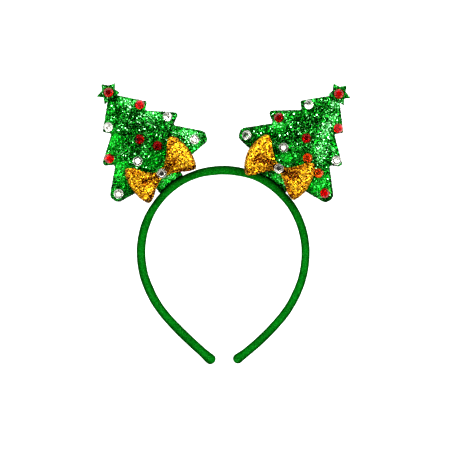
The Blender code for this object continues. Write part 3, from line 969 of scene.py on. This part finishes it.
def chance_levels(kind, count, rng):
    lowest, spread, crowding = kind
    return lowest + spread * rng.random(count) ** crowding


def shaded_by_slope(levels, facing, shade):
    """Levels from 0 to 1, with painted shade where a flake's bed turns away from the front."""
    return np.clip(levels * (1 - shade * np.clip(1 - facing[:, 2], 0, 1)), 0, 1)


def green_levels(side, places, facing, rng):
    """Level of each green flake, from near black to pale mint, with painted highlights, glints and shade.
    """
    count = len(places)
    levels = chance_levels(TREE_LEVELS, count, rng)
    mottle = np.array([noise.noise((x / MOTTLE, y / MOTTLE, 0.37)) for x, y in places])
    levels *= 1 + MOTTLE_LEVEL * mottle
    # Sparks: flakes painted near white as painted glints
    spark = rng.random(count)
    lowest, spread, share = TREE_PAINTED_GLINTS
    chance = np.clip(share + MOTTLE_SPARKS * mottle, 0.01, 1.0)
    # Patches of painted highlight, painted glints and painted shade
    for kind, across, up, half_across, half_up in PAINTED_LIGHT_PATCHES[side]:
        weight = patch_weight(places, across, up, half_across, half_up)
        if kind == "dark":
            levels *= 1 - DARK_PAINTED_SHADE * weight
        elif kind in GLITTER_PAINTED_HIGHLIGHT:
            wanted, varied, hold = GLITTER_PAINTED_HIGHLIGHT[kind]
            levels += weight * (wanted + varied * rng.normal(size=count) - levels) * hold
            chance *= 1 - LIFT_SPARKS * weight
        else:
            levels += MINT_PAINTED_GLINTS[0] * weight
            chance += MINT_PAINTED_GLINTS[1] * weight
    levels = np.where(spark < chance, lowest + spread * rng.random(count), levels)
    return shaded_by_slope(levels, facing, TREE_SLOPE_SHADE)


# The stars

def build_star(side, outline, seed):
    """Star over a tree's top with its glitter. The result is the frame that it lies in."""
    tips = STAR_TIPS[side]
    points = []
    for k, (angle, share) in enumerate(tips):
        after = tips[(k + 1) % len(tips)][0] + (360.0 if k == len(tips) - 1 else 0.0)
        points.append(STAR_RADIUS * share * turn(90.0 + angle))
        points.append(STAR_RADIUS * STAR_WAIST_SHARE * turn(90.0 + (angle + after) / 2))
    centre = np.array(on_tree(*STARS[side]))
    rims = np.array([(p.x, p.y) for p in points])
    under = np.concatenate([centre + rims * share for share in STAR_PROBES])
    under = under[winding(under, outline)]
    lift = pad_share(reach_inside(under, outline)).max() * TREE_THICKNESS / 2 + GAP
    ring = []
    for k in range(len(rims)):
        for j in range(STAR_EDGE_STEPS):
            ring.append(rims[k] + (rims[(k + 1) % len(rims)] - rims[k]) * j / STAR_EDGE_STEPS)
    ring = np.array(ring)
    count = len(ring)
    layers = []
    for size, rise in STAR_SECTION:
        layers.append(np.column_stack([ring * size, np.full(count, rise * STAR_THICKNESS)]))
    local = np.concatenate([*layers, [(0.0, 0.0, STAR_THICKNESS)]])
    seat = tree_frame(side) @ Matrix.Translation((*centre, lift))
    placed = moved(local, np.array(seat))
    triangles = []
    for r in range(len(layers) - 1):
        triangles += halves(wall(r * count, (r + 1) * count, count))
    last = (len(layers) - 1) * count
    triangles += [(last + k, last + (k + 1) % count, last + count) for k in range(count)]
    faces = triangles + [tuple(range(count - 1, -1, -1))]
    slots = [0] * len(triangles) + [1]
    star = add_mesh("star_" + side + "_foam", placed, faces, [green_dust, green_felt], slots,
                    smooth_angle=35.0)
    ride(star, "tree_glitter", "star_" + side)

    def level_of(places, facing, rng):
        size = len(places)
        levels = chance_levels(STAR_LEVELS, size, rng)
        # Sparks: flakes painted near white as painted glints
        lowest, spread, share = STAR_PAINTED_GLINTS
        levels = np.where(rng.random(size) < share, lowest + spread * rng.random(size), levels)
        return shaded_by_slope(levels, facing, STAR_SLOPE_SHADE)

    flakes = add_flakes("star_" + side + "_glitter", placed, np.array(triangles), STAR_FLAKES, level_of,
                        green_flakes, seed)
    ride(flakes, "tree_glitter")
    return seat


# The bows

def bow_frame(side):
    across, up, _ = BOWS[side]
    seat = BOW_SEAT + BOW_CLOTH / 2 - MIDDLE
    return tree_frame(side) @ Matrix.Translation((*on_tree(across, up), seat))


def section_rows():
    """Side view of a loop, from its waist over the front, round the fold and back.

    Each row has its run, its spread, its height and how much it belongs to the front.
    """
    rows = [(run, spread, front, 1.0) for run, spread, front, _ in LOOP_SECTION]
    rows.append((1.0, 1.0, LOOP_FOLD, 0.5))
    rows += [(run, spread, back, 0.0) for run, spread, _, back in LOOP_SECTION[::-1]]
    knots = np.array(rows)
    fine = []
    for k in range(len(knots) - 1):
        before = knots[max(k - 1, 0)]
        after = knots[min(k + 2, len(knots) - 1)]
        here, there = knots[k], knots[k + 1]
        for j in range(BOW_ROWS_EACH):
            t = j / BOW_ROWS_EACH
            fine.append(0.5 * (2 * here + (there - before) * t
                               + (2 * before - 5 * here + 4 * there - after) * t ** 2
                               + (3 * here - before - 3 * there + after) * t ** 3))
    fine.append(knots[-1])
    return fine


def loop_point(side, loop_side, row, column):
    """Point of a loop's cloth at a row of its section, and from -1 at its lower edge to 1 at its upper."""
    run, spread, height, in_front = row
    upper = Vector(LOOPS[(side, loop_side)][0:2]) * BOW_HALF_SPAN
    lower = Vector(LOOPS[(side, loop_side)][2:4]) * BOW_HALF_SPAN
    bulge = LOOPS[(side, loop_side)][4] * BOW_HALF_SPAN
    sign = math.copysign(1.0, upper.x)
    waist_turn = math.radians(BOWS[side][2])
    across = Vector((math.cos(waist_turn), math.sin(waist_turn))) * sign * WAIST_REACH
    rise = Vector((-math.sin(waist_turn), math.cos(waist_turn))) * BOW_WAIST / 2
    waist = across + rise * column
    outward = Vector((upper.y - lower.y, lower.x - upper.x)).normalized() * sign
    end = lower.lerp(upper, (column + 1) / 2)
    end += outward * (bulge * (1 - column ** 2) - BOW_CORNER_SHARE * abs(upper.x) * column ** 8)
    x = waist.x + (end.x - waist.x) * run
    y = waist.y + (end.y - waist.y) * spread
    z = height * BOW_DEPTH
    inside = min(max(run, 0.0), 1.0)
    pleat = math.sqrt(max(0.0, math.sin(math.pi * inside))) * (1 - inside) * max(0.0, in_front)
    z -= BOW_PLEAT * pleat * math.cos(2 * math.pi * column)
    z -= BOW_EDGE_DROP * spread * column ** 4 * max(0.0, in_front)
    z -= BOW_CREASE * pleat * math.sin(7 * math.pi * column + 1.3 * sign)
    under = max(0.0, -column) ** 3
    hump = 4 * inside * (1 - inside)
    y += BOW_TUCK * max(0.0, in_front) * under * inside ** 2 - BOW_LOWER_BULGE[side] * under * hump
    wave = noise.noise(Vector((x, y, in_front * 0.01)) / BOW_WAVE_LENGTH)
    return Vector((x, y, z + BOW_WAVE * wave * hump * in_front))


def build_bow(side, seed):
    """Folded cloth of one bow with its glitter on the outside."""
    section = section_rows()
    rows = [("right", row) for row in section] + [("left", row) for row in section[::-1]]
    columns = np.linspace(-1.0, 1.0, BOW_COLUMNS + 1)
    local = [loop_point(side, loop_side, row, c) for loop_side, row in rows for c in columns]
    frame_of = bow_frame(side)
    points = np.array([tuple(frame_of @ p) for p in local])
    count = len(points)
    width = len(columns)
    triangles = []
    quads = []
    slots = []
    for r in range(len(rows)):
        here = r * width
        there = (r + 1) % len(rows) * width
        for c in range(BOW_COLUMNS):
            a, b, d, e = here + c, there + c, there + c + 1, here + c + 1
            triangles += [(a, b, d), (a, d, e)]
            quads += [(a, b, d, e), (count + a, count + e, count + d, count + b)]
            slots += [0, 1]
        for c, flip in ((0, False), (BOW_COLUMNS, True)):
            rim = (here + c, count + here + c, count + there + c, there + c)
            quads.append(rim[::-1] if flip else rim)
            slots.append(0)
    triangles = np.array(triangles)
    normals = vertex_normals(points, triangles)
    outside = points + normals * BOW_CLOTH / 2
    inside = points - normals * BOW_CLOTH / 2
    bow = add_mesh("bow_" + side + "_cloth", np.concatenate([outside, inside]), quads,
                   [gold_dust, shaded_gold_lining], slots, smooth_angle=60.0)
    ride(bow, "bow_glitter", "bow_" + side)

    to_local = np.linalg.inv(np.array(frame_of))

    def level_of(places, facing, rng):
        return gold_levels(side, moved(places, to_local) / MM, facing, rng)

    flakes = add_flakes("bow_" + side + "_glitter", outside, triangles, BOW_FLAKES, level_of,
                        gold_flakes, seed)
    ride(flakes, "bow_glitter")


def gold_levels(side, spots, facing, rng):
    """Level of each gold flake, with painted shade along the crease that runs out from the knot, in the
    pleats and by the lower edge, and darker by the upper edge.
    """
    count = len(spots)
    levels = rng.random(count)
    levels = np.where(levels < 0.30, 0.10 + 0.80 * levels, 0.38 + 0.50 * levels)
    fleck = rng.random(count)
    sign = np.where(spots[:, 0] > 0, 1.0, -1.0)
    run = np.zeros(count)
    column = np.zeros(count)
    crease_shade = np.zeros(count)
    shade = np.zeros(count)
    for loop_side, wanted in (("left", -1.0), ("right", 1.0)):
        ax, ay, bx, by = [share * BOW_HALF_SPAN / MM for share in LOOPS[(side, loop_side)][:4]]
        reach = spots[:, 0] / ((ax + bx) / 2)
        mid = (ay + by) / 2 * reach
        half = (ay - by) / 2 * np.maximum(reach, 0.15)
        mine = sign == wanted
        run = np.where(mine, reach, run)
        column = np.where(mine, (spots[:, 1] - mid) / half, column)
        middle, width, length, darkness = LOOP_SHADES[(side, loop_side)]
        shade = np.where(mine, darkness, shade)
        across = np.exp(-(((column - middle * reach) / width) ** 2))
        crease_shade = np.where(mine, across * np.clip((length - reach) / 0.22, 0, 1), crease_shade)
    # Painted shade along the loops' lower edges, and darker along the upper ones
    lower = np.clip((-column - 0.76) / 0.16, 0, 1)
    upper = np.clip((column - 0.72) / 0.25, 0, 1)
    # Painted shade in the crease and in streaks along the pleats
    levels *= 1 - 0.92 * crease_shade * rng.random(count) ** 0.18
    pleat_shade = np.sin(BOW_PLEAT_SHADES * column + 2.0 * run + (1.0 if side == "left" else 2.4))
    levels -= 0.12 * np.clip(pleat_shade, 0, 1) * rng.random(count) ** 0.3
    # Dark flecks at random, more of them towards the knot, where they add painted shade
    levels = np.where(fleck < 0.15 + 0.14 * (1 - run), 0.16 * rng.random(count), levels)
    levels = levels * (1 - shade * lower * np.clip(run / 0.4 - 0.3, 0, 1)) * (1 - 0.35 * upper)
    return shaded_by_slope(levels, facing, BOW_SLOPE_SHADE)


# The stones

stone_rng = np.random.default_rng(STONE_SEED)


def ring_points(count, radius, height, start=0.0):
    return [radius * turn(start + 360.0 / count * k) + Vector((0, 0, height)) for k in range(count)]


def stone_shape(rise_kind):
    """Cut glass in a foil cup: points, then the faces of the glass, the cup's heart, its edge and its back.

    The glass has a table, eight stars, eight kites, sixteen girdle facets and an uneven base. Its points
    are the girdle (from 0), the crown's middle (16), the table (24), the base's rim (32), its heart (48)
    and its centre (56).
    """
    girdle = STONE_GIRDLE_SHARE * STONE_HEIGHT
    table = STONE_TABLE_SHARE * STONE_RADIUS
    middle = STONE_MIDDLE_SHARE * STONE_RADIUS
    run = middle * math.cos(math.radians(22.5))
    rise = (STONE_RADIUS - run) / (STONE_RADIUS - table) * (STONE_HEIGHT - girdle)
    points = ring_points(16, STONE_RADIUS, girdle)
    points += ring_points(8, middle, girdle + rise, 22.5)
    points += ring_points(8, table, STONE_HEIGHT)
    points += ring_points(16, CUP_FLOOR_SHARE * STONE_RADIUS, CUP_FLOOR)
    for point in ring_points(8, CUP_HEART_SHARE * STONE_RADIUS, CUP_FLOOR + CUP_RISE[rise_kind], 22.5):
        points.append(point + Vector((0, 0, CUP_UNEVEN * stone_rng.random())))
    points.append(Vector((0, 0, CUP_FLOOR + CUP_UNEVEN * stone_rng.random())))
    glass = [tuple(range(24, 32))]
    base = []
    for k in range(8):
        before = (k - 1) % 8
        after = (k + 1) % 8
        glass.append((2 * k, 2 * k + 1, 16 + k))
        glass.append((2 * k + 1, (2 * k + 2) % 16, 16 + k))
        glass.append((2 * k, 16 + k, 24 + k, 16 + before))
        glass.append((16 + k, 24 + after, 24 + k))
        base.append((33 + 2 * k, 32 + 2 * k, 48 + before, 48 + k))
        base.append((32 + (2 * k + 2) % 16, 33 + 2 * k, 48 + k))
        base.append((48 + before, 56, 48 + k))
    side = [(b, a, d, c) for a, b, c, d in wall(0, 32, 16)]
    cup = len(points)
    drop = Vector((0, 0, CUP_CLEARANCE))
    place = {k: cup + k for k in range(16)}
    place.update({k: cup + k - 16 for k in range(32, 57)})
    points += [points[k] - drop for k in place]
    skirt = len(points)
    points += ring_points(16, STONE_BACK_SHARE * STONE_RADIUS, 0.0)
    heart = [tuple(place[k] for k in reversed(face)) for face in base]
    edge = [tuple(place[k] for k in reversed(face)) for face in side]
    back = wall(skirt, cup, 16) + [tuple(range(skirt + 15, skirt - 1, -1))]
    return points, glass + base + side, heart, edge, back


def add_stone(name, colour, seat):
    """One stone on its seat, spun and leaning a little by chance, as glued stones are."""
    points, glass, heart, edge, back = stone_shape("dark" if name in DARK_HEARTS else "pale")
    spin = stone_rng.uniform(0.0, 45.0)
    lean = stone_rng.uniform(1.0, STONE_LEAN)
    towards = turn(stone_rng.uniform(0.0, 360.0))
    placed = seat @ Matrix.Rotation(math.radians(lean), 4, towards)
    placed = placed @ Matrix.Rotation(math.radians(spin), 4, "Z")
    slots = [0] * len(glass) + [1] * len(heart) + [2] * len(edge) + [3] * len(back)
    stone = add_mesh("stone_" + name + "_cut", [placed @ p for p in points], glass + heart + edge + back,
                     stone_kits[colour], slots)
    ride(stone, "stone_" + colour, "stone_" + name)


def pad_seat(outline, across, up):
    """Height of a tree's front above its middle plane and the direction that it faces there."""
    step = 0.0004
    around = np.array([(across, up), (across + step, up), (across - step, up),
                       (across, up + step), (across, up - step)])
    height = pad_share(reach_inside(around, outline)) * TREE_THICKNESS / 2
    slope = Vector(((height[2] - height[1]) / (2 * step), (height[4] - height[3]) / (2 * step), 1.0))
    return float(height[0]), slope.normalized()


def build_stones(side, outline, star_seat):
    """Stones of one side: the tree's own, then those on its star and on its bow's waist."""
    for name, colour, across, up in STONES[side]:
        place = on_tree(across, up)
        height, facing = pad_seat(outline, *place)
        tilt = facing.to_track_quat("Z", "Y").to_matrix().to_4x4()
        seat = Vector((*place, height)) + facing * GAP
        add_stone(side + "_" + name, colour, tree_frame(side) @ Matrix.Translation(seat) @ tilt)
    add_stone(side + "_star", "red", star_seat @ Matrix.Translation((0, 0, STAR_THICKNESS + GAP)))
    waist = LOOP_SECTION[0][2] * BOW_DEPTH + BOW_CLOTH / 2 + GAP
    add_stone(side + "_knot", "clear", bow_frame(side) @ Matrix.Translation((0, 0, waist)))


# Floor, light and camera

def build_stage():
    corners = [(x * FLOOR_HALF, y * FLOOR_HALF, 0) for x, y in ((-1, -1), (1, -1), (1, 1), (-1, 1))]
    floor = add_mesh("floor", corners, [(0, 1, 2, 3)], [])
    floor.location.z = -FLOOR_DROP
    material, tree, shader = new_material(
        "floor_paper", Base_Color=(FLOOR_TONE, FLOOR_TONE, FLOOR_TONE, 1.0), Roughness=0.9,
        Specular_IOR_Level=0.0, Emission_Color=(1.0, 1.0, 1.0, 1.0), Emission_Strength=FLOOR_GLOW)
    bump(tree, shader, noise_of(tree, coordinates(tree), 0.002), 0.00005, 0.2)
    floor.data.materials.append(material)


def add_light(name, place, size, power):
    lamp = bpy.data.lights.new(name, "AREA")
    lamp.shape = "DISK"
    lamp.size = size
    lamp.energy = power
    thing = bpy.data.objects.new(name, lamp)
    thing.location = place
    thing.rotation_euler = (-Vector(place)).to_track_quat("-Z", "Y").to_euler()
    bpy.context.scene.collection.objects.link(thing)


def build_world():
    """White light from all round, whose strength goes by the height of the direction it comes from."""
    world = bpy.data.worlds.new("studio")
    world.use_nodes = True
    tree = world.node_tree
    towards = node(tree, "ShaderNodeTexCoord").outputs["Generated"]
    split = node(tree, "ShaderNodeSeparateXYZ", Vector=towards)
    sky = node(tree, "ShaderNodeFloatCurve", Value=split.outputs["Z"])
    curve = sky.mapping.curves[0]
    for k, (height, strength) in enumerate(STUDIO):
        if k < 2:
            curve.points[k].location = (height, strength / STUDIO_FULL)
        else:
            curve.points.new(height, strength / STUDIO_FULL)
    sky.mapping.update()
    full = node(tree, "ShaderNodeMath", operation="MULTIPLY")
    full.inputs[1].default_value = STUDIO_FULL
    tree.links.new(sky.outputs["Value"], full.inputs[0])
    feed(tree.nodes["Background"], Color=(1.0, 1.0, 1.0, 1.0), Strength=full.outputs["Value"])
    bpy.context.scene.world = world


def build_camera():
    lens = bpy.data.cameras.new("camera")
    lens.sensor_width = SENSOR
    lens.lens = SENSOR * (CAMERA_PLACE[2] - PICTURE_LEVEL) / PICTURE_WIDTH
    camera = bpy.data.objects.new("camera", lens)
    camera.location = HUB + Vector(CAMERA_PLACE)
    bpy.context.scene.collection.objects.link(camera)
    bpy.context.scene.camera = camera


def hub_place():
    """Centre of the crown: where the hoop's own box has to be to fit the band's."""
    spots = []
    for place, out, half, _ in hoop_stations():
        spots += [place + out * half, place - out * half]
    low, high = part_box("band")
    own_low = Vector([min(p[k] for p in spots) for k in range(3)])
    own_high = Vector([max(p[k] for p in spots) for k in range(3)])
    shift = (Vector(low) + Vector(high) - own_low - own_high) / 2
    return Vector((shift.x, shift.y, 0.0))


HUB = hub_place()
build_camera()
build_world()
build_stage()
for light in LIGHTS:
    add_light(*light)
bpy.context.scene.view_settings.view_transform = "Standard"
bpy.context.scene.view_settings.look = "High Contrast"

build_band()
for number, tree_side in enumerate(("left", "right")):
    tree_edge = build_tree(tree_side, TREE_SEED + number)
    star_seat = build_star(tree_side, tree_edge, STAR_SEED + number)
    build_bow(tree_side, BOW_SEED + number)
    build_stones(tree_side, tree_edge, star_seat)
